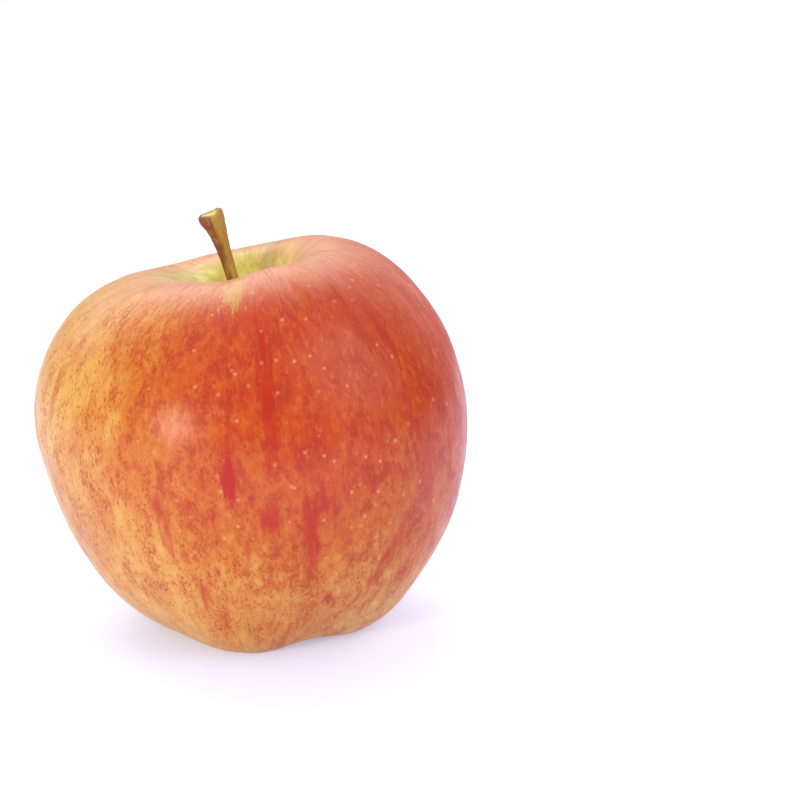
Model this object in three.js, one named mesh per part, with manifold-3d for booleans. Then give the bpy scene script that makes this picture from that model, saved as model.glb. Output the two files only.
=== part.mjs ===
// An apple, standing on the lobes of its base. It has eight pieces: the fruit, which is flesh and skin
// in one solid; the woody stem, rooted in the cavity on top; and in the basin below the dried calyx,
// which is five sepals round a tuft of stamens. Millimetres, +Z up. The origin is on the ground, under
// the middle of the fruit.
import * as THREE from "three";
import { mergeVertices } from "three/addons/utils/BufferGeometryUtils.js";
import Module from "manifold-3d";

const wasm = await Module();
wasm.setup();

// ---- driving dimensions -------------------------------------------------------------------------

// The fruit.
const FRUIT_WIDTH = 73; // across the widest ring
const FRUIT_HEIGHT = 62.5; // ground to the mean crest of the shoulder
const WIDEST_AT = 36; // height of the widest ring
const FRONT_TO_BACK = 0.97; // depth of the fruit over its width
const CREST_RADIUS = 14; // of the ring along the top of the shoulder
const CAVITY_DEPTH = 14; // mean crest to cavity floor
const FOOT_RADIUS = 16.5; // of the ring of lobes that the fruit stands on
const BASIN_DEPTH = 9; // ground to basin floor
const REST_CUT = 0.45; // taken off the foot lobes, which leaves the flat spots that it rests on

// How far each stretch of the fruit's section keeps level or upright at its two ends before it bends
// away, as shares of its own width or height, lower end first.
const BENDS = {
  basin: [0.5, 0.48],
  flank: [0.38, 0.52],
  shoulder: [0.55, 0.46],
  cavity: [0.45, 0.42],
};

// Its five ribs, which end in lobes under the fruit and swell the shoulder a little.
const RIBS = 5;
const FOOT_LOBES_AT = -104; // degrees, where the first lobe of the base stands
const CREST_LOBES_AT = -66; // degrees, where the first swelling of the shoulder is
const LOBE_HEIGHT = 2.3; // foot lobes over the deepest valley between them
const LOBE_PINCH = 0.055; // share that the valleys of the base draw in
const SHALLOW_AT = -150; // degrees, on the side where the valleys are nearly filled
const SHALLOW_SHARE = 0.8; // of a valley's depth that is filled there
const CREST_SWELL = 0.8; // shoulder swellings over the dips between them
const RIB_SWELL = 0.012; // share that a rib stands out of the flank
const FOOT_REACH = 0.42; // share of the height up to which the lobes are felt
const CREST_REACH = 0.45; // share of the height, from the top down, that the shoulder's shape reaches
const CALM_MIDDLE = 0.2; // share of the crest's and foot's radius within which neither is felt

// Its lopsided growth.
const TOP_LEANS = 3.4; // sideways, towards -X, at the crest
const HIGH_SIDE_AT = -2; // degrees, where the shoulder is highest
const HIGH_SIDE_RISE = 2.7; // over the mean crest, and as much under it opposite

// The stem.
const STEM_LENGTH = 22.5; // cavity floor to the broken end
const STEM_RADIUS = 1.08;
const STEM_END_RADIUS = 2.15; // at the flared, broken end
const STEM_FLARE = 7; // length of the flare
const STEM_LIP = 0.35; // rounding of the broken end's rim
const STEM_ROOT = 3; // length set in the fruit
const STEM_ROOT_TAPER = 0.75; // radius at the root's tip, as a share
const STEM_TILT = 12; // degrees, towards -X, at the root
const STEM_BEND = 1.5; // sideways, by which the curved stem strays from that tilt at its end

// The calyx.
const SEPALS = 5;
const SEPAL_LENGTH = 5.2;
const SEPAL_WIDTH = 2.9; // of the root and the shoulders, before they round off
const SEPAL_THICKNESS = 0.5;
const SEPAL_CUP = 0.3; // how far the edges stand in from the midrib
const SEPAL_LEAN = 14; // degrees, outwards at the root
const SEPAL_CURLS = [2.1, 1.4, 1.8, 2.4, 1.6]; // how far each tip curls out
const TUFT_RADIUS = 1.25; // of the pad that the stamens grow on
const TUFT_DEPTH = 2.2; // of that pad in the calyx tube
const TUFT_TO_SEPALS = 1.2; // from the pad out to the sepals' roots
const STAMENS = 14;
const STAMEN_LENGTH = 3.4;
const STAMEN_RADIUS = 0.16;
const ANTHER_RADIUS = 0.34;

const CLEARANCE = 0.3; // between pieces that meet

// How finely curved surfaces are cut into facets.
const FRUIT_SIDES = 60;
const STEM_SIDES = 16;
const CALYX_SIDES = 24;
const FILAMENT_SIDES = 6;
const RINGS = { basin: 9, flank: 13, shoulder: 10, cavity: 9, stem: 7, sepal: 7 };

// ---- solids and geometries ----------------------------------------------------------------------

function solidOf(geometry) {
  const bare = geometry.index ? geometry.toNonIndexed() : geometry.clone();
  bare.deleteAttribute("normal");
  bare.deleteAttribute("uv");
  const merged = mergeVertices(bare, 1e-4);
  const vertProperties = new Float32Array(merged.attributes.position.array);
  const triVerts = new Uint32Array(merged.index.array);
  return new wasm.Manifold(new wasm.Mesh({ numProp: 3, vertProperties, triVerts }));
}

function geometryOf(solid) {
  const { vertProperties, triVerts, numProp } = solid.getMesh();
  if (numProp !== 3) throw new Error("a joined solid holds more than positions");
  const geometry = new THREE.BufferGeometry();
  geometry.setAttribute("position", new THREE.BufferAttribute(vertProperties, 3));
  geometry.setIndex(new THREE.BufferAttribute(triVerts, 1));
  geometry.computeVertexNormals();
  return geometry;
}

// Moves each vertex as `move` says, which changes the point that it is given.
function reshape(geometry, move) {
  const position = geometry.attributes.position;
  const point = new THREE.Vector3();
  for (let i = 0; i < position.count; i++) {
    move(point.fromBufferAttribute(position, i));
    position.setXYZ(i, point.x, point.y, point.z);
  }
  return geometry;
}

// A solid of revolution about +Z from a profile of [radius, height] points, lowest first.
function turned(profile, sides) {
  const points = profile.map(([radius, height]) => new THREE.Vector2(radius, height));
  return new THREE.LatheGeometry(points, sides).rotateX(Math.PI / 2);
}

const radians = THREE.MathUtils.degToRad;
const smoothstep = THREE.MathUtils.smoothstep;
const mix = THREE.MathUtils.lerp;

// ---- fruit --------------------------------------------------------------------------------------

const cavityFloor = FRUIT_HEIGHT - CAVITY_DEPTH;

// One stretch of the section between two [radius, height] points. At each end it is level or
// upright, and keeps to that for its share of the stretch.
function stretch(from, to, bends, ends, rings) {
  const [start, end] = bends;
  const handles = [
    ends[0] === "level" ? [mix(from[0], to[0], start), from[1]] : [from[0], mix(from[1], to[1], start)],
    ends[1] === "level" ? [mix(to[0], from[0], end), to[1]] : [to[0], mix(to[1], from[1], end)],
  ];
  const corners = [from, ...handles, to].map(([radius, height]) => new THREE.Vector2(radius, height));
  return new THREE.CubicBezierCurve(...corners).getPoints(rings).map((point) => [point.x, point.y]);
}

// Half of the fruit's section, from the basin floor out over the foot and the flank, and over the
// shoulder down to the cavity floor. The foot goes below the ground by what the ground takes off it.
function fruitProfile() {
  const basinMiddle = [0, BASIN_DEPTH];
  const foot = [FOOT_RADIUS, -REST_CUT];
  const widest = [FRUIT_WIDTH / 2, WIDEST_AT];
  const crest = [CREST_RADIUS, FRUIT_HEIGHT];
  const cavityMiddle = [0, cavityFloor];
  return [
    ...stretch(basinMiddle, foot, BENDS.basin, ["level", "level"], RINGS.basin),
    ...stretch(foot, widest, BENDS.flank, ["level", "upright"], RINGS.flank).slice(1),
    ...stretch(widest, crest, BENDS.shoulder, ["upright", "level"], RINGS.shoulder).slice(1),
    ...stretch(crest, cavityMiddle, BENDS.cavity, ["level", "level"], RINGS.cavity).slice(1),
  ];
}

// 1 on a rib and 0 midway between two, at a turn about the axis in radians.
function ribAt(turn, firstDegrees) {
  return 0.5 + 0.5 * Math.cos(RIBS * (turn - radians(firstDegrees)));
}

// The depth of the valleys of the base at a turn about the axis, 0 on a lobe and 1 at the deepest.
function valleyAt(turn) {
  const facing = 0.5 + 0.5 * Math.cos(turn - radians(SHALLOW_AT));
  return (1 - SHALLOW_SHARE * facing ** 2) * (1 - ribAt(turn, FOOT_LOBES_AT));
}

// Swells the ribs and lobes, raises one shoulder and leans the top.
function growFruit(point) {
  const radius = Math.hypot(point.x, point.y);
  const turn = Math.atan2(point.y, point.x);
  const up = point.z / FRUIT_HEIGHT;
  const foot = 1 - smoothstep(up, 0, FOOT_REACH);
  const crest = smoothstep(up, 1 - CREST_REACH, 1);
  const outOfBasin = smoothstep(radius / FOOT_RADIUS, CALM_MIDDLE, 1);
  const outOfCavity = smoothstep(radius / CREST_RADIUS, CALM_MIDDLE, 1);
  const standsOut = RIB_SWELL * (ribAt(turn, FOOT_LOBES_AT) - 0.5) * Math.sin(Math.PI * up);
  const drawsIn = LOBE_PINCH * valleyAt(turn) * foot * outOfBasin;
  const swell = 1 + standsOut - drawsIn;
  point.x *= swell;
  point.y *= swell * FRONT_TO_BACK;
  point.z += LOBE_HEIGHT * valleyAt(turn) * foot ** 2 * outOfBasin;
  point.z -= CREST_SWELL * (1 - ribAt(turn, CREST_LOBES_AT)) * crest * outOfCavity;
  point.z += HIGH_SIDE_RISE * Math.cos(turn - radians(HIGH_SIDE_AT)) * crest * outOfCavity;
  point.x -= TOP_LEANS * up;
}

// What the ground takes off the foot lobes.
function groundBelow() {
  const size = 2 * FRUIT_WIDTH;
  return new THREE.BoxGeometry(size, size, size).translate(0, 0, -size / 2);
}

// ---- stem ---------------------------------------------------------------------------------------

// The stem along +Z from its root, `gap` larger all over.
function stemAlone(gap) {
  const flareStart = STEM_LENGTH - STEM_FLARE;
  const profile = [
    [0, -STEM_ROOT - gap],
    [STEM_ROOT_TAPER * STEM_RADIUS + gap, -STEM_ROOT - gap],
    [STEM_RADIUS + gap, -STEM_ROOT / 2],
  ];
  for (let ring = 0; ring <= RINGS.stem; ring++) {
    profile.push([STEM_RADIUS + gap, (ring / RINGS.stem) * flareStart]);
  }
  for (let ring = 1; ring <= RINGS.stem; ring++) {
    const along = ring / RINGS.stem;
    profile.push([mix(STEM_RADIUS, STEM_END_RADIUS, along ** 2) + gap, flareStart + along * STEM_FLARE]);
  }
  profile.push([STEM_END_RADIUS - STEM_LIP + gap, STEM_LENGTH + STEM_LIP + gap]);
  profile.push([0, STEM_LENGTH + STEM_LIP / 2 + gap]);
  return reshape(turned(profile, STEM_SIDES), (point) => {
    point.x -= STEM_BEND * Math.max(0, point.z / STEM_LENGTH) ** 2;
  });
}

// Sets something made along the stem in its place in the fruit.
function placeStem(object) {
  object.position.set((-TOP_LEANS * cavityFloor) / FRUIT_HEIGHT, 0, cavityFloor);
  object.rotation.y = -radians(STEM_TILT);
  return object;
}

// ---- calyx --------------------------------------------------------------------------------------

const sepalRing = TUFT_RADIUS + TUFT_TO_SEPALS + SEPAL_THICKNESS / 2;

// One sepal, hanging from its root at the origin: a pointed scale with round shoulders, which is
// cupped across and curls out towards +X.
function sepalAlone(curl) {
  const half = SEPAL_WIDTH / 2;
  const root = 0.62 * half;
  const shoulder = [1.25 * half, -0.35 * SEPAL_LENGTH];
  const nearTip = [0.5 * half, -0.7 * SEPAL_LENGTH];
  const outline = new THREE.Shape();
  outline.moveTo(-root, 0);
  outline.lineTo(root, 0);
  outline.bezierCurveTo(...shoulder, ...nearTip, 0, -SEPAL_LENGTH);
  outline.bezierCurveTo(-nearTip[0], nearTip[1], -shoulder[0], shoulder[1], -root, 0);
  const scale = new THREE.ExtrudeGeometry(outline, {
    depth: SEPAL_THICKNESS,
    bevelEnabled: false,
    curveSegments: RINGS.sepal,
  });
  // The outline goes into the YZ plane, with its thickness along X.
  scale.translate(0, 0, -SEPAL_THICKNESS / 2).rotateX(Math.PI / 2).rotateZ(Math.PI / 2);
  return reshape(scale, (point) => {
    point.x += curl * (point.z / SEPAL_LENGTH) ** 2 - SEPAL_CUP * (point.y / half) ** 2;
  });
}

// One stamen, hanging from the pad: a thin filament with an anther at its end. Every other one
// grows nearer to the pad's middle and spreads less.
function stamen(index) {
  const outer = index % 2 === 0;
  const growsAt = (outer ? 0.8 : 0.45) * (TUFT_RADIUS - STAMEN_RADIUS);
  const spread = radians(outer ? 26 : 18);
  const length = STAMEN_LENGTH * (1 - 0.12 * (index % 3));
  const tip = 0.7 * STAMEN_RADIUS;
  const filament = new THREE.CylinderGeometry(STAMEN_RADIUS, tip, length, FILAMENT_SIDES);
  filament.rotateX(Math.PI / 2).translate(0, 0, STAMEN_RADIUS - length / 2);
  const anther = new THREE.IcosahedronGeometry(ANTHER_RADIUS, 0).scale(1, 1, 1.5);
  anther.translate(0, 0, -length);
  for (const part of [filament, anther]) {
    part.rotateY(-spread).translate(growsAt, 0, 0).rotateZ((index / STAMENS) * 2 * Math.PI);
  }
  return [filament, anther];
}

// The tuft hangs from the origin: a pad with withered stamens spreading down from it.
function tuftAlone() {
  const padProfile = [
    [0, 0],
    [TUFT_RADIUS, 0],
    [TUFT_RADIUS, 0.7 * TUFT_DEPTH],
    [0, TUFT_DEPTH],
  ];
  let tuft = solidOf(turned(padProfile, CALYX_SIDES));
  for (let index = 0; index < STAMENS; index++) {
    for (const part of stamen(index)) tuft = tuft.add(solidOf(part));
  }
  return tuft;
}

// The seat of the calyx: a level disc of the basin floor, and the mouth of the calyx tube in it.
function calyxSeat() {
  const seatRadius = sepalRing + SEPAL_THICKNESS + CLEARANCE;
  const tubeRadius = TUFT_RADIUS + CLEARANCE;
  const tubeEnd = BASIN_DEPTH + TUFT_DEPTH + CLEARANCE;
  const profile = [
    [0, BASIN_DEPTH / 2],
    [seatRadius, BASIN_DEPTH / 2],
    [seatRadius, BASIN_DEPTH],
    [tubeRadius, BASIN_DEPTH],
    [tubeRadius, tubeEnd],
    [0, tubeEnd],
  ];
  return turned(profile, CALYX_SIDES);
}

// Sets something made about the calyx's own middle in its place in the fruit.
function placeCalyx(object, height) {
  object.position.set((-TOP_LEANS * BASIN_DEPTH) / FRUIT_HEIGHT, 0, height);
  return object;
}

// ---- the apple ----------------------------------------------------------------------------------

function placed(geometry, place) {
  place.updateMatrix();
  return geometry.applyMatrix4(place.matrix);
}

function fruitSolid() {
  const stemHole = placed(stemAlone(CLEARANCE), placeStem(new THREE.Object3D()));
  const seat = placed(calyxSeat(), placeCalyx(new THREE.Object3D(), 0));
  let solid = solidOf(reshape(turned(fruitProfile(), FRUIT_SIDES), growFruit));
  for (const cut of [groundBelow(), stemHole, seat]) {
    solid = solid.subtract(solidOf(cut));
  }
  return solid;
}

const skin = new THREE.MeshStandardMaterial({ color: "#d9783f", roughness: 0.35, metalness: 0 });
const bark = new THREE.MeshStandardMaterial({ color: "#9c7636", roughness: 0.75, metalness: 0 });
const driedSepal = new THREE.MeshStandardMaterial({ color: "#6f6848", roughness: 0.9, metalness: 0 });
const driedStamen = new THREE.MeshStandardMaterial({ color: "#4a3722", roughness: 0.9, metalness: 0 });

function piece(name, geometry, material) {
  const mesh = new THREE.Mesh(geometry, material);
  mesh.name = name;
  return mesh;
}

function calyx() {
  const group = placeCalyx(new THREE.Group(), BASIN_DEPTH - CLEARANCE);
  for (let i = 0; i < SEPALS; i++) {
    const curl = SEPAL_CURLS[i % SEPAL_CURLS.length];
    const sepal = piece(`sepal_${i + 1}`, sepalAlone(curl), driedSepal);
    sepal.position.x = sepalRing;
    sepal.rotation.y = -radians(SEPAL_LEAN);
    const spoke = new THREE.Group();
    spoke.rotation.z = radians(FOOT_LOBES_AT) + (i / SEPALS) * 2 * Math.PI;
    group.add(spoke.add(sepal));
  }
  return group;
}

const fruit = piece("fruit", geometryOf(fruitSolid()), skin);
const apple = new THREE.Group();
apple.add(fruit);
apple.add(placeStem(piece("stem", stemAlone(0), bark)));
apple.add(placeCalyx(piece("stamens", geometryOf(tuftAlone()), driedStamen), BASIN_DEPTH));
apple.add(calyx());

// The origin goes under the middle of the fruit's box.
fruit.geometry.computeBoundingBox();
const middle = fruit.geometry.boundingBox.getCenter(new THREE.Vector3());
apple.position.set(-middle.x, -middle.y, 0);

const standing = new THREE.Group();
standing.add(apple);
export default standing;
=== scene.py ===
"""An eating apple, standing on a white table: the fruit with its skin, the woody stalk in the cavity
on top, and the dried calyx in the basin below. Lengths are in metres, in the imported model's frame."""

import math
import random

import bmesh
import bpy
from mathutils import Matrix, Vector
from mathutils.geometry import interpolate_bezier


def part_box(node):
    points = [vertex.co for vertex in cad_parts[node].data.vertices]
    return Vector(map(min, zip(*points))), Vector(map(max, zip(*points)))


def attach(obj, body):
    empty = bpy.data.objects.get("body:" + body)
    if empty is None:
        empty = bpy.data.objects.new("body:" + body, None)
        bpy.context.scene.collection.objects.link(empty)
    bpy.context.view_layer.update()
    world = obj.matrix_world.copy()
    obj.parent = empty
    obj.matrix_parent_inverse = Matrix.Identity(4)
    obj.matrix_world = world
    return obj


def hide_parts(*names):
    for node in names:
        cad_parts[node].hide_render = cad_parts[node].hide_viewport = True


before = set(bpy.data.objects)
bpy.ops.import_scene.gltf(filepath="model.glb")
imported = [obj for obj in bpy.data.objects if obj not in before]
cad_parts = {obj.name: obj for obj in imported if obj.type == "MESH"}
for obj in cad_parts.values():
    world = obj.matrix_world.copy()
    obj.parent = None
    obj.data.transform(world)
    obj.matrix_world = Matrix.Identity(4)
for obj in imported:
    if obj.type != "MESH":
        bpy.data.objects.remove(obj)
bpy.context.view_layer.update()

MM = 0.001

# ---- sizes, in millimetres where MM is named ------------------------------------------------------

# The fruit's section, as the frame has it.
HEIGHT = 62.5 * MM  # ground to the mean crest of the shoulder
WIDEST_RADIUS = 36.5 * MM
WIDEST_AT = 36 * MM
CREST_RADIUS = 14 * MM
CAVITY_FLOOR = 48.5 * MM
FOOT_RADIUS = 16.5 * MM
FOOT_AT = -0.45 * MM
BASIN_FLOOR = 9 * MM
TOP_LEANS = 3.4 * MM  # its axis towards -X, over a rise of HEIGHT
SEGMENTS = 80  # round the fruit

# The socket that the stalk grows out of: how far along the stalk each ring lies, and its radius, in
# millimetres.
SOCKET = [(0.15, 1.75), (0.12, 1.42), (-0.2, 1.27), (-1.2, 1.2), (-2.2, 1.15), (-2.9, 1.0)]

# Where the skin follows its own rings and isn't wrapped: this near to the axis, in the socket and in
# the calyx tube.
SOCKET_ABOVE = 44 * MM
SOCKET_WITHIN = 3.0 * MM
TUBE_BELOW = 12 * MM
TUBE_WITHIN = 3.4 * MM

# Lopsided growth: the middle of each pull on the skin, its move and how far round it is felt, in
# millimetres.
PULLS = [
    ((10, 12, 64), (0, 0, 1.1), 18),  # the high side of the shoulder
    ((-12, 9, 61), (0, 0, -2.4), 10),  # the low side, behind on the left
    ((1, 14, 63), (0, 0, -1.2), 11),  # from the low side to the high one
    ((-29, 0, 54), (-0.7, 0, 0.7), 16),  # the full shoulder on the left
    ((3, -18, 2), (0, -0.4, -1.0), 17),  # the lobes of the foot in front
]

# The stalk, measured along itself from the cavity floor.
STALK_LENGTH = 22.5 * MM
STALK_TILT = math.radians(12)  # towards -X
STALK_BEND = 1.5 * MM  # sideways at its end
STALK_SIDES = 16
BREAK_ABOVE = 20.2 * MM  # where its broken end begins
BREAK_RIM = 1.3 * MM  # from its middle line out, what counts as the rim of that end

# Its rings, as (distance along it, radius) pairs in millimetres.
STALK_RINGS = [
    (-2.6, 0.85), (-1.4, 1.02), (-0.4, 1.1), (0.4, 1.14), (1.5, 1.1), (4, 1.06), (6.5, 1.03),
    (9, 1.04), (11.5, 1.06), (13.5, 1.10), (15.2, 1.18), (16.8, 1.32), (18.2, 1.52), (19.5, 1.75),
    (20.6, 1.95), (21.4, 2.06), (21.9, 2.04), (22.15, 1.88), (22.2, 1.6), (21.95, 1.15), (21.85, 0.6),
]

# Knocks on its broken end: each one's turn and half its spread in degrees, and its move.
STALK_KNOCKS = [
    (180, 60, (-0.35, 0, -0.25)),
    (15, 50, (0, 0, 0.55)),
    (-80, 40, (0, -0.12, -0.35)),
    (110, 45, (0, 0.1, 0.2)),
]

# The calyx.
SEPALS = 5
SEPAL_LENGTH = 5.2 * MM
SEPAL_RING = 2.7 * MM
SEPAL_THICKNESS = 0.28 * MM
SEPAL_ROOT = 0.35 * MM  # how far below the basin's floor it begins
SEPAL_CUP_RADIUS = 2.05 * MM  # across its cupped shoulders, where it is widest
CUP_SIDES = 28
CUP_HALF_ARC = math.radians(41)
SEPAL_STATIONS = [  # how far along it, and its width there as a share
    (0.0, 0.62), (0.12, 0.85), (0.28, 1.0), (0.45, 0.92),
    (0.62, 0.72), (0.78, 0.48), (0.9, 0.28), (1.0, 0.1),
]
SEPAL_LEAN = math.radians(14)
SEPAL_CURLS = [2.1 * MM, 1.4 * MM, 1.8 * MM, 2.4 * MM, 1.6 * MM]
FIRST_SEPAL_AT = math.radians(-104)
PUCKERS = 10  # folds of skin that run to the calyx
STAMENS = 14
STAMEN_SIDES = 6
STAMEN_RADIUS = 0.15 * MM
STAMEN_SHARES = [1.3, 1.0, 0.9, 0.85, 0.85, 1.2, 2.3, 1.6]  # of that radius, from root to anther
STAMENS_AT = 10.6 * MM  # the height that they grow from

# The pad under them: each ring's height and radius, in millimetres.
PAD_RINGS = [(11.15, 1.12), (10.95, 1.3), (10.6, 1.32), (10.3, 1.15), (10.2, 0.7)]
PAD_SIDES = 16

# ---- colours and patterns -------------------------------------------------------------------------

SUNNY_SIDE_AT = math.radians(-20)
GROUND_YELLOW = "#DAA650"
GROUND_GOLD = "#CE9040"
GROUND_FOOT = "#CEA044"
BLUSH_ORANGE = "#C66818"
BLUSH = "#BC4016"
DEEP_RED = "#A8280E"
PALE_TOUCH = "#D07638"
SPECK = "#9E4010"
STROKE_RED = "#B21E04"
PORE = "#E4A476"
PORE_SPACING = 2.2 * MM
# The pale band round the hollow: partly the rim's paler skin, partly a painted pinkish sheen.
PALE_RIM_AND_SHEEN = "#E0A48C"
HOLLOW_GREEN = "#BCB24A"
HOLLOW_YELLOW = "#DCCA74"
# The stalk's bark: the red-brown is painted shade on its left side, the ochre painted light on its right.
BARK_SHADED_RED = "#86461C"
BARK_LIT_OCHRE = "#B8903E"
BARK_DARK = "#5A3414"
BARK_GREEN = "#AC9C3E"
WOOD_PALE = "#E2DA78"
WOOD_OCHRE = "#C4B054"
LEAF_BROWN = "#5B4427"
LEAF_GREY = "#8A7A4A"
STAMEN_DARK = "#2E2114"
STAMEN_BROWN = "#6A4F2C"

# The streaks that stand out: each one's turn in degrees, its two heights and its width in
# millimetres, its slant in degrees and its strength.
STROKES = [
    (-93.2, 30.0, 39.5, 2.8, 4, 1.0),
    (-94.0, 37.0, 41.5, 3.0, 0, 0.45),
    (-83.5, 25.0, 30.8, 3.0, 0, 0.7),
    (-72.7, 18.6, 30.6, 2.4, 0, 0.8),
    (-48.0, 11.0, 24.0, 3.0, -24, 0.6),
    (-48.3, 54.5, 60.9, 1.8, 0, 0.7),
    (-40.0, 51.0, 57.0, 2.4, 6, 0.6),
    (-152.0, 38.0, 47.0, 2.2, 0, 0.35),
    (-36.0, 22.0, 40.0, 2.4, 10, 0.5),
    (-65.8, 9.5, 12.2, 2.2, 0, 0.8),
    (-81.5, 40.0, 57.0, 3.0, 0, 0.7),
    (-113.0, 27.0, 31.5, 2.0, 0, 0.5),
    (-112.0, 20.0, 26.0, 2.0, 4, 0.5),
    (-104.5, 11.0, 16.0, 2.2, -10, 0.55),
]
# A pale cream band on the front of the crest, in the hollow's colours: partly the hollow's yellow, partly a
# painted soft highlight.
RIM_HIGHLIGHT_MARKS = [(-92.0, 59.4, 62.4, 6.0, 0, 0.4)]

FRUIT_MIDDLE = Vector((0, 0, 0.033))
LOOKED_AT = Vector((24.9, 1.8, 37.5)) * MM  # by the camera, beside the fruit

SOFT = {"interpolation_type": "SMOOTHSTEP"}  # a step between two levels without a hard edge

chance = random.Random(7)

calyx_low, calyx_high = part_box("stamens")
calyx_middle = (calyx_low + calyx_high) / 2


def axis_at(height):
    """The point of the fruit's leaning axis at a height."""
    lean = TOP_LEANS * (height - BASIN_FLOOR) / HEIGHT
    return Vector((calyx_middle.x - lean, calyx_middle.y, height))


# ---- how pieces are shaped ------------------------------------------------------------------------


def linear(colour):
    """An sRGB hex colour as the linear RGBA that Blender's sockets hold."""
    channels = [int(colour[i : i + 2], 16) / 255 for i in (1, 3, 5)]
    return (*(c / 12.92 if c <= 0.04045 else ((c + 0.055) / 1.055) ** 2.4 for c in channels), 1.0)


def only(piece):
    """Makes a piece the one that operators act on."""
    bpy.ops.object.select_all(action="DESELECT")
    piece.select_set(True)
    bpy.context.view_layer.objects.active = piece


def ring_to_start(name, sides, centre, radius):
    """A level circle, left in edit mode with all of it selected."""
    bpy.ops.object.select_all(action="DESELECT")
    bpy.ops.mesh.primitive_circle_add(vertices=sides, radius=radius, location=centre)
    piece = bpy.context.active_object
    piece.name = piece.data.name = name
    bpy.ops.object.transform_apply(location=True, rotation=True, scale=True)
    bpy.ops.object.mode_set(mode="EDIT")
    bpy.ops.mesh.select_all(action="SELECT")
    return piece


def extrude_to(last, ring):
    """Extrudes the selected ring from `last` to `ring`, each a (centre, radius) pair."""
    (last_centre, last_radius), (centre, radius) = last, ring
    bpy.ops.mesh.extrude_region_move(TRANSFORM_OT_translate={"value": centre - last_centre})
    share = radius / last_radius
    bpy.ops.transform.resize(value=(share, share, share), center_override=centre)


def select_where(piece, chosen):
    """Selects the vertices of the piece in edit mode that `chosen` says yes to."""
    bpy.ops.mesh.select_all(action="DESELECT")
    mesh = bmesh.from_edit_mesh(piece.data)
    for vertex in mesh.verts:
        vertex.select = chosen(vertex.co)
    mesh.select_flush(True)
    bmesh.update_edit_mesh(piece.data)


def close_ring():
    """Closes the selected ring with a fan to its middle."""
    bpy.ops.mesh.extrude_region_move()
    bpy.ops.mesh.merge(type="CENTER")


def close_ends(piece, start):
    """Closes the ring just drawn and the one at the start, and leaves edit mode."""
    centre, radius = start
    close_ring()
    select_where(piece, lambda place: (place - centre).length < 1.1 * radius)
    close_ring()
    bpy.ops.object.mode_set(mode="OBJECT")


def apply_all(piece):
    only(piece)
    for modifier in list(piece.modifiers):
        bpy.ops.object.modifier_apply(modifier=modifier.name)


def finish_piece(piece, body, slot, *nodes):
    """Smooth faces that point outwards, the body that it rides on and the nodes that it stands for."""
    only(piece)
    bpy.ops.object.mode_set(mode="EDIT")
    bpy.ops.mesh.select_all(action="SELECT")
    bpy.ops.mesh.normals_make_consistent(inside=False)
    bpy.ops.object.mode_set(mode="OBJECT")
    bpy.ops.object.shade_smooth()
    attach(piece, body)
    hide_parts(*nodes)
    return piece


# ---- fruit ----------------------------------------------------------------------------------------


def section():
    """Half of the fruit's section from the calyx tube round to the stalk's socket, as (radius, height)
    points. It is level or upright where its stretches meet."""
    tube = [(0.9, 11.4), (1.35, 11.2), (1.5, 10.2), (1.62, 9.2), (2.0, 8.95), (2.9, 8.9)]
    lip = (3.6 * MM, 8.88 * MM)
    foot = (FOOT_RADIUS, FOOT_AT)
    widest = (WIDEST_RADIUS, WIDEST_AT)
    crest = (CREST_RADIUS, HEIGHT)
    socket = (2.2 * MM, CAVITY_FLOOR)
    stretches = [
        (lip, (8.2 * MM, 8.3 * MM), (8.6 * MM, FOOT_AT), foot, 11),
        (foot, (24.1 * MM, FOOT_AT), (WIDEST_RADIUS, 17.3 * MM), widest, 14),
        (widest, (WIDEST_RADIUS, 50.6 * MM), (24.4 * MM, HEIGHT), crest, 12),
        (crest, (7.7 * MM, HEIGHT), (5.9 * MM, CAVITY_FLOOR), socket, 10),
    ]
    points = [(radius * MM, height * MM) for radius, height in tube]
    for start, handle, other_handle, end, count in stretches:
        corners = [Vector((*corner, 0)) for corner in (start, handle, other_handle, end)]
        curve = [(p.x, p.y) for p in interpolate_bezier(*corners, count)]
        points += curve if start == lip else curve[1:]
    return points


def stalk_at(along):
    """The point of the stalk's centre line at a distance from the cavity floor."""
    bend = STALK_BEND * max(0.0, along / STALK_LENGTH) ** 2
    local = Vector((-bend, 0, along))
    return axis_at(CAVITY_FLOOR) + Matrix.Rotation(-STALK_TILT, 3, "Y") @ local


def smooth_frame_fruit():
    """A merged and rounded copy of the frame's fruit, for the skin to be wrapped on."""
    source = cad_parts["fruit"]
    copy = source.copy()
    copy.data = source.data.copy()
    bpy.context.scene.collection.objects.link(copy)
    copy.parent = None
    only(copy)
    bpy.ops.object.mode_set(mode="EDIT")
    bpy.ops.mesh.select_all(action="SELECT")
    bpy.ops.mesh.remove_doubles(threshold=0.01 * MM)
    bpy.ops.object.mode_set(mode="OBJECT")
    rounded = copy.modifiers.new("rounded", "SUBSURF")
    rounded.levels = rounded.render_levels = 2
    apply_all(copy)
    return copy


def fruit_skin():
    """The fruit: rings drawn along its section, wrapped on the frame's fruit, puckered round the calyx,
    then pulled lopsided and rounded."""
    rings = [(axis_at(height), radius) for radius, height in section()]
    rings += [(stalk_at(along * MM), radius * MM) for along, radius in SOCKET]
    skin = ring_to_start("fruit_skin", SEGMENTS, *rings[0])
    for last, ring in zip(rings, rings[1:]):
        extrude_to(last, ring)
    close_ends(skin, rings[0])
    note_place_on_skin(skin, rings)
    wrap_on_frame_fruit(skin)
    bpy.ops.object.mode_set(mode="EDIT")
    pucker_round_calyx(skin)
    for place, move, reach in PULLS:
        pull(skin, Vector(place) * MM, Vector(move) * MM, reach * MM)
    bpy.ops.object.mode_set(mode="OBJECT")
    round_off(skin)
    set_on_table(skin)
    skin.data.materials.append(waxy_apple_skin())
    return finish_piece(skin, "root", "skin", "fruit")


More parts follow.
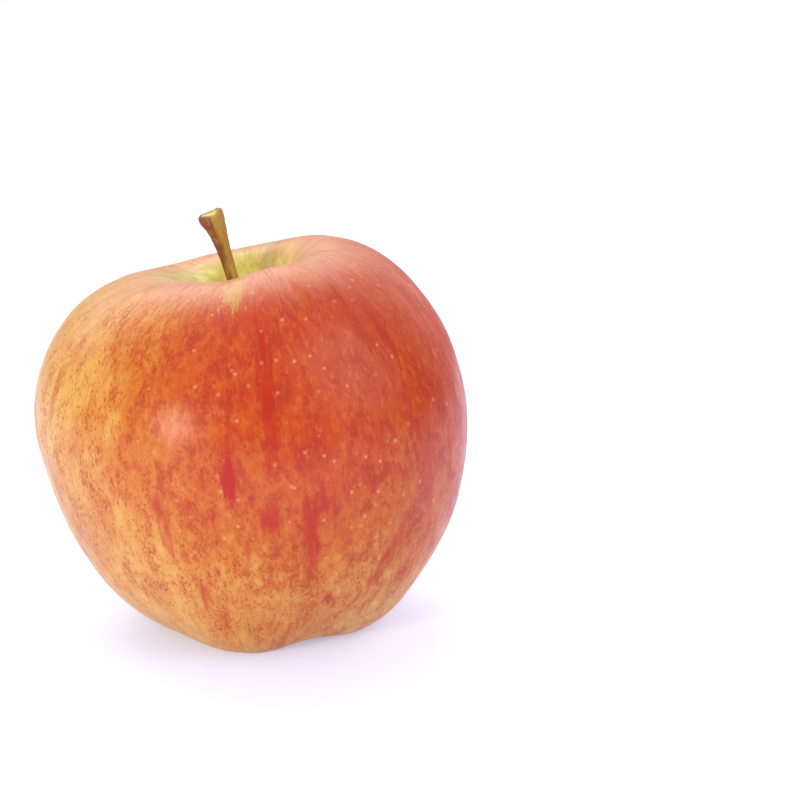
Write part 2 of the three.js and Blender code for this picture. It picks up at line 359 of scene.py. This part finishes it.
def wrap_on_frame_fruit(skin):
    """Wraps the skin on the frame's fruit, but for the stalk's socket and the calyx tube."""
    wrapped = skin.vertex_groups.new(name="wrapped")
    for vertex in skin.data.vertices:
        out = (vertex.co - axis_at(vertex.co.z)).length
        in_socket = vertex.co.z > SOCKET_ABOVE and out < SOCKET_WITHIN
        in_tube = vertex.co.z < TUBE_BELOW and out < TUBE_WITHIN
        if not (in_socket or in_tube):
            wrapped.add([vertex.index], 1.0, "REPLACE")
    fruit = smooth_frame_fruit()
    wrap = skin.modifiers.new("wrap", "SHRINKWRAP")
    wrap.target = fruit
    wrap.wrap_method = "NEAREST_SURFACEPOINT"
    wrap.vertex_group = "wrapped"
    apply_all(skin)
    bpy.data.objects.remove(fruit)


def pull(skin, place, move, reach):
    """Moves the point of the skin nearest to `place`, and the skin round it less and less."""
    mesh = bmesh.from_edit_mesh(skin.data)
    nearest = min((vertex.co.copy() for vertex in mesh.verts), key=lambda point: (point - place).length)
    select_where(skin, lambda point: (point - nearest).length < 0.01 * MM)
    bpy.ops.transform.translate(
        value=move,
        use_proportional_edit=True,
        proportional_edit_falloff="SMOOTH",
        proportional_size=reach,
    )


def round_off(skin):
    """Rounds the skin and gives it the slight swellings that grown fruit has."""
    rounded = skin.modifiers.new("rounded", "SUBSURF")
    rounded.levels = rounded.render_levels = 2
    for name, size, rise in (("growth", 15 * MM, 0.7 * MM), ("waves", 5 * MM, 0.12 * MM)):
        clouds = bpy.data.textures.new(name, "CLOUDS")
        clouds.noise_scale = size
        clouds.noise_depth = 1
        uneven = skin.modifiers.new(name, "DISPLACE")
        uneven.texture = clouds
        uneven.texture_coords = "LOCAL"
        uneven.strength = rise
        uneven.vertex_group = "wrapped"
    apply_all(skin)


def set_on_table(skin):
    """Flattens what swells below the table's level, which leaves small flat spots to stand on."""
    level = 0.01 * MM
    only(skin)
    bpy.ops.object.mode_set(mode="EDIT")
    select_where(skin, lambda point: point.z < level)
    bpy.ops.transform.resize(value=(1, 1, 0), center_override=(0, 0, level))
    bpy.ops.object.mode_set(mode="OBJECT")


def pucker_round_calyx(skin):
    """Presses shallow folds into the skin of the basin, which run to the calyx."""
    half_fold = 0.55 * 2 * math.pi / SEGMENTS
    for fold in range(PUCKERS):
        turn = FIRST_SEPAL_AT + fold * 2 * math.pi / PUCKERS
        depth = chance.uniform(0.25, 0.55) * MM
        for near, far, share in ((3.0, 5.2, 1.0), (5.2, 7.4, 0.55)):

            def in_fold(point):
                offset = point - axis_at(point.z)
                off_turn = math.remainder(math.atan2(offset.y, offset.x) - turn, 2 * math.pi)
                in_basin = point.z < 10 * MM and near * MM < offset.length < far * MM
                return in_basin and abs(off_turn) < half_fold

            select_where(skin, in_fold)
            bpy.ops.transform.translate(value=(0, 0, depth * share))


def run_along(rings):
    """How far along the section each ring lies, from the foot, where it is nought."""
    run = [0.0]
    for (last_centre, last_radius), (centre, radius) in zip(rings, rings[1:]):
        run.append(run[-1] + math.hypot(radius - last_radius, (centre - last_centre).z))
    foot = run[min(range(len(rings)), key=lambda i: rings[i][0].z)]
    return [distance - foot for distance in run]


def along_at(height):
    """How far along the section the flank or shoulder reaches a height."""
    rings = [(axis_at(z), radius) for radius, z in section()]
    outside = [
        (distance, centre.z)
        for distance, (centre, radius) in zip(run_along(rings), rings)
        if distance >= 0 and radius >= CREST_RADIUS
    ]
    for (low, low_z), (high, high_z) in zip(outside, outside[1:]):
        if low_z <= height <= high_z:
            return low + (high - low) * (height - low_z) / (high_z - low_z)
    return outside[-1][0]


def note_place_on_skin(skin, rings):
    """Stores where each point lies on the skin, round the widest ring and along a meridian from the
    foot, so that the skin's pattern can follow the meridians."""
    run = run_along(rings)
    place = skin.data.attributes.new("place_on_skin", "FLOAT_VECTOR", "POINT")
    for vertex in skin.data.vertices:
        ring = min(
            range(len(rings)),
            key=lambda i: abs((vertex.co - rings[i][0]).length - rings[i][1])
            + abs(vertex.co.z - rings[i][0].z),
        )
        offset = vertex.co - rings[ring][0]
        flat = Vector((offset.x, offset.y, 0)).normalized() * WIDEST_RADIUS
        place.data[vertex.index].vector = (flat.x, flat.y, run[ring])


# ---- materials ------------------------------------------------------------------------------------


def add(tree, kind, inputs, **settings):
    """Adds one shader node with its settings. Its inputs are given by name, or in order as a list, and
    are set or linked. A node given as an input is linked by the first output that it has in use."""
    made = tree.nodes.new("ShaderNode" + kind)
    for name, value in settings.items():
        setattr(made, name, value)
    if isinstance(inputs, dict):
        pairs = [(made.inputs[name], value) for name, value in inputs.items()]
    else:
        pairs = list(zip([socket for socket in made.inputs if socket.enabled], inputs))
    for socket, value in pairs:
        if isinstance(value, bpy.types.Node):
            value = next(output for output in value.outputs if output.enabled)
        if isinstance(value, bpy.types.NodeSocket):
            tree.links.new(value, socket)
        else:
            socket.default_value = value
    return made


def new_material(name):
    material = bpy.data.materials.new(name)
    material.use_nodes = True
    material.node_tree.nodes.clear()
    return material, material.node_tree


def grain(tree, place, across, along, shift, detail=2.0):
    """Uneven tone from -0.5 to 0.5, in patches about `across` wide and `along` long."""
    inputs = {
        "Vector": place,
        "Location": (shift, shift, shift),
        "Scale": (1 / across, 1 / across, 1 / along),
    }
    stretched = add(tree, "Mapping", inputs)
    inputs = {"Vector": stretched, "Scale": 1.0, "Detail": detail, "Roughness": 0.55}
    noise = add(tree, "TexNoise", inputs)
    return add(tree, "Math", [noise, 0.5], operation="SUBTRACT")


def waxy_apple_skin():
    """Apple skin: a yellow ground under a red blush that comes in streaks and flecks, and pale pores,
    all under a thin natural wax. The wax gives broad, soft, low highlights."""
    material, tree = new_material("waxy_apple_skin")
    place = add(tree, "Attribute", {}, attribute_name="place_on_skin").outputs["Vector"]
    spot = add(tree, "TexCoord", {}).outputs["Object"]
    along = add(tree, "SeparateXYZ", [place]).outputs["Z"]
    patches = grain(tree, place, 3.2 * MM, 4.8 * MM, 7.7, detail=4.0)
    touches = grain(tree, place, 1.1 * MM, 1.9 * MM, 4.4, detail=3.0)
    threads = grain(tree, place, 0.9 * MM, 6 * MM, 1.3)
    specks = grain(tree, place, 0.46 * MM, 0.7 * MM, 5.2)

    facing = towards_sun(tree, place)
    fade = add(tree, "Math", [threads, 7 * MM, along], operation="MULTIPLY_ADD")
    fade = add(tree, "Math", [patches, 14 * MM, fade], operation="MULTIPLY_ADD")
    sun = sun_on_skin(tree, facing, along, fade)
    clouds = grain(tree, place, 11 * MM, 17 * MM, 3.1)
    redness = add(tree, "Math", [clouds, 0.5, sun], operation="MULTIPLY_ADD")
    redness = add(tree, "Math", [patches, 0.6, redness], operation="MULTIPLY_ADD")
    redness = add(tree, "Math", [touches, 0.7, redness], operation="MULTIPLY_ADD")

    colour = ground_and_blush(tree, clouds, along, redness)
    colour = dark_and_pale_touches(tree, colour, redness, patches, touches, specks)
    colour = flecks(tree, colour, redness, along, patches, specks)
    edge = add(tree, "Math", [specks, 2.2], operation="MULTIPLY")
    edge = add(tree, "Math", [threads, 2.6, edge], operation="MULTIPLY_ADD")
    streaks = marks(tree, place, edge, STROKES)
    colour = add(tree, "Mix", [streaks, colour, linear(STROKE_RED)], data_type="RGBA")
    colour = rim_of_hollow(tree, colour, along, fade, threads)
    pale_pores = pores(tree, spot)
    reddened = add(tree, "MapRange", [sun, 0.15, 0.6, 0, 1], **SOFT)
    shown = add(tree, "Math", [pale_pores, reddened], operation="MULTIPLY")
    colour = add(tree, "Mix", [shown, colour, linear(PORE)], data_type="RGBA")
    # A pale band on the front of the rim: partly the hollow's yellow, partly a painted soft highlight.
    pale = marks(tree, place, edge, RIM_HIGHLIGHT_MARKS)
    mottle = grain(tree, spot, 1.8 * MM, 2.6 * MM, 2.7, detail=3.0)
    inwards = add(tree, "Math", [facing, -3 * MM, along], operation="MULTIPLY_ADD")
    colour = hollow(tree, colour, inwards, patches, threads, mottle, pale)

    shine = add(tree, "MapRange", [patches, -0.2, 0.2, 0.30, 0.42], **SOFT)
    height = grain(tree, spot, 0.9 * MM, 0.9 * MM, 6.6)
    height = add(tree, "Math", [pale_pores, height], operation="ADD")
    bump = add(tree, "Bump", {"Height": height, "Strength": 0.35, "Distance": 0.06 * MM})
    inputs = {"Base Color": colour, "Roughness": shine, "IOR": 1.42, "Normal": bump}
    shader = add(tree, "BsdfPrincipled", inputs)
    add(tree, "OutputMaterial", {"Surface": shader})
    return material


def towards_sun(tree, place):
    """1 on the side that faced the sun, and -1 on the other side."""
    sunny = Vector((math.cos(SUNNY_SIDE_AT), math.sin(SUNNY_SIDE_AT), 0)) / WIDEST_RADIUS
    return add(tree, "VectorMath", [place, sunny], operation="DOT_PRODUCT")


def sun_on_skin(tree, facing, along, fade):
    """How much sun each place had. The foot and the hollows had little, and stay yellow."""
    sun = add(tree, "MapRange", [facing, -0.8, 0.5, 0, 1])
    above_foot = add(tree, "MapRange", [along, 4 * MM, 60 * MM, 0.30, 1], **SOFT)
    sun = add(tree, "Math", [sun, above_foot], operation="MULTIPLY")
    outside_hollow = add(tree, "MapRange", [fade, 69 * MM, 87 * MM, 1, 0.15], **SOFT)
    return add(tree, "Math", [sun, outside_hollow], operation="MULTIPLY")


def ground_and_blush(tree, clouds, along, redness):
    """The yellow ground, which turns orange and then red as the sun reddened it."""
    golden = add(tree, "MapRange", [clouds, -0.15, 0.15, 0, 1], **SOFT)
    colour = add(tree, "Mix", [golden, linear(GROUND_YELLOW), linear(GROUND_GOLD)], data_type="RGBA")
    low = add(tree, "MapRange", [along, 16 * MM, -2 * MM, 0, 1], **SOFT)
    colour = add(tree, "Mix", [low, colour, linear(GROUND_FOOT)], data_type="RGBA")
    orange = add(tree, "MapRange", [redness, -0.05, 0.62, 0, 1], **SOFT)
    colour = add(tree, "Mix", [orange, colour, linear(BLUSH_ORANGE)], data_type="RGBA")
    red = add(tree, "MapRange", [redness, 0.35, 1.05, 0, 1], **SOFT)
    return add(tree, "Mix", [red, colour, linear(BLUSH)], data_type="RGBA")


def dark_and_pale_touches(tree, colour, redness, patches, touches, specks):
    """Small deep red touches and paler ones between them, where the skin is red."""
    where_red = add(tree, "MapRange", [redness, 0.2, 1.05, 0, 0.6], **SOFT)
    tone = add(tree, "Math", [specks, 0.35, patches], operation="MULTIPLY_ADD")
    tone = add(tree, "Math", [touches, 0.55, tone], operation="MULTIPLY_ADD")
    dark = add(tree, "MapRange", [tone, -0.04, 0.20, 0, 1], **SOFT)
    dark = add(tree, "Math", [dark, where_red], operation="MULTIPLY")
    colour = add(tree, "Mix", [dark, colour, linear(DEEP_RED)], data_type="RGBA")
    pale = add(tree, "MapRange", [touches, -0.02, -0.28, 0, 0.75], **SOFT)
    pale = add(tree, "Math", [pale, where_red], operation="MULTIPLY")
    return add(tree, "Mix", [pale, colour, linear(PALE_TOUCH)], data_type="RGBA")


def flecks(tree, colour, redness, along, patches, specks):
    """Fine flecks, red-brown on the yellow ground and deep red on the blush, sparser by the foot."""
    tone = add(tree, "Math", [patches, 0.35, specks], operation="MULTIPLY_ADD")
    flecked = add(tree, "MapRange", [tone, 0.02, 0.19, 0, 0.74], **SOFT)
    over_red = add(tree, "MapRange", [redness, 0.3, 1.0, 1, 0.6], **SOFT)
    flecked = add(tree, "Math", [flecked, over_red], operation="MULTIPLY")
    above_foot = add(tree, "MapRange", [along, -6 * MM, 24 * MM, 0.55, 1], **SOFT)
    flecked = add(tree, "Math", [flecked, above_foot], operation="MULTIPLY")
    red = add(tree, "Mix", [redness, linear(SPECK), linear(DEEP_RED)], data_type="RGBA")
    return add(tree, "Mix", [flecked, colour, red], data_type="RGBA")


def rim_of_hollow(tree, colour, along, fade, threads):
    """A paler pinkish band round the stalk's hollow, partly the rim's own paler skin and partly a painted
    sheen, combed with thin red lines that run into it.
    """
    # The pale band: partly paler skin, partly a painted sheen along the rim.
    pale = add(tree, "MapRange", [fade, 71 * MM, 81 * MM, 0, 0.45], **SOFT)
    colour = add(tree, "Mix", [pale, colour, linear(PALE_RIM_AND_SHEEN)], data_type="RGBA")
    lines = add(tree, "MapRange", [threads, 0.0, 0.16, 0, 0.5], **SOFT)
    near_rim = add(tree, "MapRange", [along, 50 * MM, 78 * MM, 0, 1], **SOFT)
    lines = add(tree, "Math", [lines, near_rim], operation="MULTIPLY")
    return add(tree, "Mix", [lines, colour, linear(BLUSH)], data_type="RGBA")


def hollow(tree, colour, inwards, patches, threads, mottle, pale):
    """The yellow-green of the stalk's hollow, which begins higher up on the side that faced away from the
    sun and runs out over the rim in places. The pale band on the front of the rim, laid in these colours,
    is partly a painted soft highlight."""
    depth = add(tree, "Math", [patches, 14 * MM, inwards], operation="MULTIPLY_ADD")
    depth = add(tree, "Math", [threads, 3 * MM, depth], operation="MULTIPLY_ADD")
    deep = add(tree, "MapRange", [depth, 81 * MM, 90 * MM, 0, 1], **SOFT)
    # The pale band on the front of the rim is partly a painted soft highlight.
    deep = add(tree, "Math", [deep, pale], operation="MAXIMUM")
    tone = add(tree, "Math", [threads, 0.25, mottle], operation="MULTIPLY_ADD")
    greener = add(tree, "MapRange", [tone, -0.20, 0.14, 0, 1], **SOFT)
    green = add(tree, "Mix", [greener, linear(HOLLOW_YELLOW), linear(HOLLOW_GREEN)], data_type="RGBA")
    return add(tree, "Mix", [deep, colour, green], data_type="RGBA")


def marks(tree, place, edge, listed):
    """The few marks that stand out, as one mask: an ellipse with a ragged edge for each."""
    mask = 0.0
    for turn, low, high, width, slant, strength in listed:
        turn = math.radians(turn)
        start = along_at(low * MM)
        end = along_at(high * MM)
        centre = (WIDEST_RADIUS * math.cos(turn), WIDEST_RADIUS * math.sin(turn), (start + end) / 2)
        size = (10 * MM, width / 2 * MM, (end - start) / 2)
        inputs = [place, centre, (math.radians(slant), 0, turn), size]
        inside = add(tree, "Mapping", inputs, vector_type="TEXTURE")
        away = add(tree, "VectorMath", [inside], operation="LENGTH")
        away = add(tree, "Math", [away, edge], operation="ADD")
        mark = add(tree, "MapRange", [away, 0.55, 1.35, strength, 0], **SOFT)
        mask = add(tree, "Math", [mask, mark], operation="MAXIMUM")
    return mask


def pores(tree, spot):
    """Pale, soft pores, over half a millimetre across and a few millimetres apart, some fainter."""
    cells = add(tree, "TexVoronoi", {"Vector": spot, "Scale": 1 / PORE_SPACING}, feature="F1")
    dots = add(tree, "MapRange", [cells, 0.04, 0.22, 0.55, 0], **SOFT)
    chosen = add(tree, "SeparateColor", [cells.outputs["Color"]])
    chosen = add(tree, "MapRange", [chosen, 0.1, 0.9, 0, 1], **SOFT)
    return add(tree, "Math", [dots, chosen], operation="MULTIPLY")


# ---- stalk ----------------------------------------------------------------------------------------


def note_place_on_stalk(piece, path):
    """Stores where each point lies on the stalk as if it were straight: its two offsets from the middle
    line, and how far along the outline it is, so that the grain follows the bend."""
    run = [0.0]
    for (last_centre, last_radius), (centre, radius) in zip(path, path[1:]):
        run.append(run[-1] + math.hypot(radius - last_radius, (centre - last_centre).length))
    place = piece.data.attributes.new("place_on_stalk", "FLOAT_VECTOR", "POINT")
    upright = Matrix.Rotation(STALK_TILT, 3, "Y")
    for vertex in piece.data.vertices:
        ring = min(vertex.index // STALK_SIDES, len(path) - 1)
        offset = upright @ (vertex.co - path[ring][0])
        place.data[vertex.index].vector = (offset.x, offset.y, run[ring])


def stalk():
    """The woody stalk: an uneven round drawn along its bend, and flared at the broken end."""
    path = [(stalk_at(along * MM), radius * MM) for along, radius in STALK_RINGS]
    start, start_radius = path[0]
    piece = ring_to_start("stalk", STALK_SIDES, start, start_radius)
    mesh = bmesh.from_edit_mesh(piece.data)
    for vertex in mesh.verts:
        uneven = 1 + chance.uniform(-0.07, 0.07)
        vertex.co = start + (vertex.co - start) * uneven
    bpy.ops.transform.rotate(value=STALK_TILT, orient_axis="Y", center_override=start)
    for last, ring in zip(path, path[1:]):
        extrude_to(last, ring)
        twist = chance.uniform(-0.06, 0.1)
        bpy.ops.transform.rotate(value=twist, orient_axis="Z", center_override=ring[0])
    close_ends(piece, path[0])
    note_place_on_stalk(piece, path)
    knock_stalk_end(piece, path)
    rounded = piece.modifiers.new("rounded", "SUBSURF")
    rounded.levels = rounded.render_levels = 2
    fibres = bpy.data.textures.new("stalk_bark", "CLOUDS")
    fibres.noise_scale = 0.7 * MM
    rough = piece.modifiers.new("bark", "DISPLACE")
    rough.texture = fibres
    rough.texture_coords = "LOCAL"
    rough.strength = 0.12 * MM
    apply_all(piece)
    piece.data.materials.append(stalk_bark())
    return finish_piece(piece, "root", "stem", "stem")


def knock_stalk_end(piece, path):
    """Makes the broken end uneven: a heel to the left, a raised corner to the right, and a ragged rim."""
    only(piece)
    bpy.ops.object.mode_set(mode="EDIT")
    upright = Matrix.Rotation(STALK_TILT, 3, "Y")
    for turn, spread, move in STALK_KNOCKS:

        def in_reach(point):
            local = upright @ (point - axis_at(CAVITY_FLOOR))
            offset = upright @ (point - path[-3][0])
            off_turn = math.remainder(math.degrees(math.atan2(offset.y, offset.x)) - turn, 360)
            by_rim = math.hypot(offset.x, offset.y) > BREAK_RIM
            return local.z > BREAK_ABOVE and by_rim and abs(off_turn) < spread

        select_where(piece, in_reach)
        bpy.ops.transform.translate(value=upright.transposed() @ Vector(move) * MM)
    bpy.ops.object.mode_set(mode="OBJECT")


def stalk_bark():
    """Dry apple stalk: thin bark with fine fibres along it, red-brown on its left side and ochre on its
    right, a split that is painted shade and painted light. It is dull, with a faint shine on the ridges,
    and the broken end shows pale wood."""
    material, tree = new_material("dry_stalk_bark")
    place = add(tree, "Attribute", {}, attribute_name="place_on_stalk").outputs["Vector"]
    parts = add(tree, "SeparateXYZ", [place])
    fibres = grain(tree, place, 0.16 * MM, 2.4 * MM, 2.2, detail=3.0)
    stains = grain(tree, place, 0.7 * MM, 3.0 * MM, 9.4)
    # Painted shade and light: the left side is red-brown and the right side ochre, with stains blurring the
    # line.
    side = add(tree, "Math", [stains, 1.4 * MM, parts.outputs["X"]], operation="MULTIPLY_ADD")
    side = add(tree, "MapRange", [side, -0.45 * MM, 0.45 * MM, 0, 1], **SOFT)
    colour = add(tree, "Mix", [side, linear(BARK_SHADED_RED), linear(BARK_LIT_OCHRE)], data_type="RGBA")
    dark = add(tree, "MapRange", [fibres, -0.10, 0.18, 0, 0.42], **SOFT)
    colour = add(tree, "Mix", [dark, colour, linear(BARK_DARK)], data_type="RGBA")
    green = add(tree, "MapRange", [stains, 0.06, 0.20, 0, 0.45], **SOFT)
    colour = add(tree, "Mix", [green, colour, linear(BARK_GREEN)], data_type="RGBA")
    wood = broken_wood(tree, place, fibres)
    end = add(tree, "MapRange", [parts.outputs["Z"], 25.3 * MM, 25.6 * MM, 0, 1], **SOFT)
    colour = add(tree, "Mix", [end, colour, wood], data_type="RGBA")
    bump = add(tree, "Bump", {"Height": fibres, "Strength": 0.5, "Distance": 0.12 * MM})
    shader = add(tree, "BsdfPrincipled", {"Base Color": colour, "Roughness": 0.6, "Normal": bump})
    add(tree, "OutputMaterial", {"Surface": shader})
    return material


def broken_wood(tree, place, fibres):
    """The broken end: pale yellow-green wood inside a dark rim of bark."""
    tone = add(tree, "MapRange", [fibres, -0.10, 0.12, 0, 1], **SOFT)
    wood = add(tree, "Mix", [tone, linear(WOOD_PALE), linear(WOOD_OCHRE)], data_type="RGBA")
    flat = add(tree, "VectorMath", [place, (1.0, 1.0, 0.0)], operation="MULTIPLY")
    out = add(tree, "VectorMath", [flat], operation="LENGTH")
    rim = add(tree, "MapRange", [out, 1.25 * MM, 1.75 * MM, 0, 1], **SOFT)
    return add(tree, "Mix", [rim, wood, linear(BARK_DARK)], data_type="RGBA")


# ---- calyx ----------------------------------------------------------------------------------------


def sepal(number):
    """One dried sepal: a cupped strip drawn out of the basin's floor, narrowed to a tip that curls over."""
    seat = axis_at(BASIN_FLOOR)
    rings = []
    for share, width in SEPAL_STATIONS:
        radius = width * SEPAL_CUP_RADIUS
        out = SEPAL_RING + math.sin(SEPAL_LEAN) * SEPAL_LENGTH * share + SEPAL_CURLS[number] * share**2.4
        down = SEPAL_ROOT + SEPAL_LENGTH * (share - 0.16 * share**3) * math.cos(SEPAL_LEAN)
        rings.append((seat + Vector((out - radius, 0, -down)), radius))
    piece = ring_to_start(f"dried_sepal_{number + 1}", CUP_SIDES, *rings[0])
    start = rings[0][0]
    select_where(piece, lambda point: abs(math.atan2(point.y - start.y, point.x - start.x)) > CUP_HALF_ARC)
    bpy.ops.mesh.delete(type="VERT")
    bpy.ops.mesh.select_all(action="SELECT")
    for last, ring in zip(rings, rings[1:]):
        extrude_to(last, ring)
    bpy.ops.mesh.select_all(action="SELECT")
    turn = FIRST_SEPAL_AT + number * 2 * math.pi / SEPALS
    bpy.ops.transform.rotate(value=-turn, orient_axis="Z", center_override=seat)
    bpy.ops.object.mode_set(mode="OBJECT")
    shell = piece.modifiers.new("thick", "SOLIDIFY")
    shell.thickness = SEPAL_THICKNESS
    shell.offset = 0
    rounded = piece.modifiers.new("rounded", "SUBSURF")
    rounded.levels = rounded.render_levels = 2
    wrinkles = bpy.data.textures.new("dried_wrinkles", "CLOUDS")
    wrinkles.noise_scale = 1.1 * MM
    wrinkled = piece.modifiers.new("wrinkled", "DISPLACE")
    wrinkled.texture = wrinkles
    wrinkled.texture_coords = "LOCAL"
    wrinkled.direction = "X"
    wrinkled.strength = 0.3 * MM
    apply_all(piece)
    piece.data.materials.append(dry_leaf())
    return finish_piece(piece, "root", "sepal", f"sepal_{number + 1}")


def filament_path(number):
    """The middle line of one dried stamen: it leans out a little, each in its own way."""
    inner = number % 2
    ring = (0.55 if inner else 1.0) * MM
    turn = 2 * math.pi * number / STAMENS + 0.2 * chance.uniform(-1, 1)
    lean = chance.uniform(-0.1, 0.55) * MM
    length = chance.uniform(2.3, 3.3) * MM
    seat = axis_at(STAMENS_AT)
    steps = 7
    for step in range(steps + 1):
        share = step / steps
        radial = ring + lean * math.sin(share * 2.4)
        swing = turn + 0.35 * chance.uniform(-1, 1) * share / steps
        yield seat + Vector((radial * math.cos(swing), radial * math.sin(swing), -length * share))


def stamens():
    """The tuft of dried stamens in the mouth of the calyx tube, on the pad that they grew from."""
    pad_path = [(axis_at(height * MM), radius * MM) for height, radius in PAD_RINGS]
    pad = ring_to_start("dried_stamens", PAD_SIDES, *pad_path[0])
    for last, ring in zip(pad_path, pad_path[1:]):
        extrude_to(last, ring)
    close_ends(pad, pad_path[0])
    grown = [pad]
    for number in range(STAMENS):
        path = [
            (point, STAMEN_RADIUS * share) for point, share in zip(filament_path(number), STAMEN_SHARES)
        ]
        piece = ring_to_start(f"stamen_{number}", STAMEN_SIDES, *path[0])
        for last, ring in zip(path, path[1:]):
            extrude_to(last, ring)
        close_ends(piece, path[0])
        grown.append(piece)
    bpy.ops.object.select_all(action="DESELECT")
    for piece in grown:
        piece.select_set(True)
    bpy.context.view_layer.objects.active = pad
    bpy.ops.object.join()
    rounded = pad.modifiers.new("rounded", "SUBSURF")
    rounded.levels = rounded.render_levels = 1
    apply_all(pad)
    pad.data.materials.append(dry_stamen())
    return finish_piece(pad, "root", "stamen", "stamens")


def dry_leaf():
    """A dried sepal: thin, brown and downy, so it is matt, with a greyish sheen of short hairs."""
    material, tree = new_material("dried_downy_leaf")
    spot = add(tree, "TexCoord", {}).outputs["Object"]
    veins = grain(tree, spot, 0.35 * MM, 1.6 * MM, 1.9, detail=3.0)
    tone = add(tree, "MapRange", [veins, -0.15, 0.15, 0, 1], **SOFT)
    colour = add(tree, "Mix", [tone, linear(LEAF_BROWN), linear(LEAF_GREY)], data_type="RGBA")
    bump = add(tree, "Bump", {"Height": veins, "Strength": 0.6, "Distance": 0.15 * MM})
    inputs = {"Base Color": colour, "Roughness": 0.85, "Normal": bump}
    inputs |= {"Sheen Weight": 0.5, "Sheen Roughness": 0.4}
    shader = add(tree, "BsdfPrincipled", inputs)
    add(tree, "OutputMaterial", {"Surface": shader})
    return material


def dry_stamen():
    """Dried stamens: dark brown threads, near black in places, dull and a little fibrous."""
    material, tree = new_material("dried_stamen_fibre")
    spot = add(tree, "TexCoord", {}).outputs["Object"]
    fibres = grain(tree, spot, 0.25 * MM, 0.6 * MM, 4.1)
    tone = add(tree, "MapRange", [fibres, -0.15, 0.15, 0, 1], **SOFT)
    colour = add(tree, "Mix", [tone, linear(STAMEN_DARK), linear(STAMEN_BROWN)], data_type="RGBA")
    shader = add(tree, "BsdfPrincipled", {"Base Color": colour, "Roughness": 0.8})
    add(tree, "OutputMaterial", {"Surface": shader})
    return material


# ---- table, light and camera ----------------------------------------------------------------------


def table_top():
    """A sheet of white acrylic that is lit from below a little, so that shadows on it stay faint."""
    bpy.ops.object.select_all(action="DESELECT")
    bpy.ops.mesh.primitive_plane_add(size=1.5, location=(0, 0, 0))
    top = bpy.context.active_object
    top.name = "table_top"
    material, tree = new_material("lit_white_acrylic")
    inputs = {
        "Base Color": linear("#DCE4FF"),
        "Roughness": 0.9,
        "Emission Color": linear("#D4E2FF"),
        "Emission Strength": 0.43,
    }
    shader = add(tree, "BsdfPrincipled", inputs)
    add(tree, "OutputMaterial", {"Surface": shader})
    top.data.materials.append(material)


def softbox(name, place, size, power, colour="#FFFFFF"):
    """A square light of a size in metres, which faces the fruit."""
    light = bpy.data.lights.new(name, "AREA")
    light.shape = "SQUARE"
    light.size = size
    light.energy = power
    light.color = linear(colour)[:3]
    box = bpy.data.objects.new(name, light)
    bpy.context.scene.collection.objects.link(box)
    box.location = place
    box.rotation_euler = (FRUIT_MIDDLE - box.location).to_track_quat("-Z", "Y").to_euler()


def studio():
    """A bright white room: lit most from behind and above, dimmer on the viewer's side, and reddish
    behind on the right, a little below level."""
    world = bpy.data.worlds.new("white_room")
    bpy.context.scene.world = world
    world.use_nodes = True
    tree = world.node_tree
    tree.nodes.clear()
    towards = add(tree, "TexCoord", {}).outputs["Generated"]
    behind = add(tree, "VectorMath", [towards, (0.0, 0.45, 0.9)], operation="DOT_PRODUCT")
    strength = add(tree, "MapRange", [behind, -0.3, 0.95, 0.33, 0.82], **SOFT)
    right = add(tree, "VectorMath", [towards, (0.85, 0.5, -0.15)], operation="DOT_PRODUCT")
    dim = add(tree, "MapRange", [right, 0.35, 0.85, 0, 1], **SOFT)
    colour = add(tree, "Mix", [dim, linear("#FFFFFF"), linear("#C46A54")], data_type="RGBA")
    room = add(tree, "Background", [colour, strength])
    backdrop = add(tree, "Background", [linear("#FFFFFF"), 1.0])
    seen = add(tree, "LightPath", {}).outputs["Is Camera Ray"]
    surface = add(tree, "MixShader", [seen, room, backdrop])
    add(tree, "OutputWorld", {"Surface": surface})

    softbox("softbox_left", Vector((-0.350, -0.487, 0.178)), 0.13, 1.9, "#FFEAD2")
    softbox("softbox_left_behind", Vector((-0.40, 0.40, 0.45)), 0.50, 0.9)
    softbox("softbox_behind", Vector((0.42, 0.60, 0.38)), 0.60, 1.2)
    softbox("softbox_right", Vector((0.48, -0.22, 0.40)), 0.50, 1.5)
    sky = bpy.data.lights.new("skylight", "SUN")
    sky.angle = math.radians(46)
    sky.energy = 0.85
    high = bpy.data.objects.new("skylight", sky)
    bpy.context.scene.collection.objects.link(high)
    high.rotation_euler = Vector((-0.22, 0.78, 1.0)).to_track_quat("Z", "Y").to_euler()
    bpy.context.scene.view_settings.view_transform = "Standard"


def camera():
    """A long lens, a little above the fruit, which stands to the left of the view's middle."""
    lens = bpy.data.cameras.new("camera")
    lens.lens = 100.9
    lens.sensor_width = 36.0
    lens.clip_start = 0.01
    eye = bpy.data.objects.new("camera", lens)
    bpy.context.scene.collection.objects.link(eye)
    distance = 0.380
    down = math.radians(15)
    back = distance * math.cos(down)
    up = distance * math.sin(down)
    eye.location = LOOKED_AT + Vector((0, -back, up))
    eye.rotation_euler = (math.radians(90) - down, 0, 0)
    bpy.context.scene.camera = eye


camera()
studio()
table_top()
fruit_skin()
stalk()
for number in range(SEPALS):
    sepal(number)
stamens()
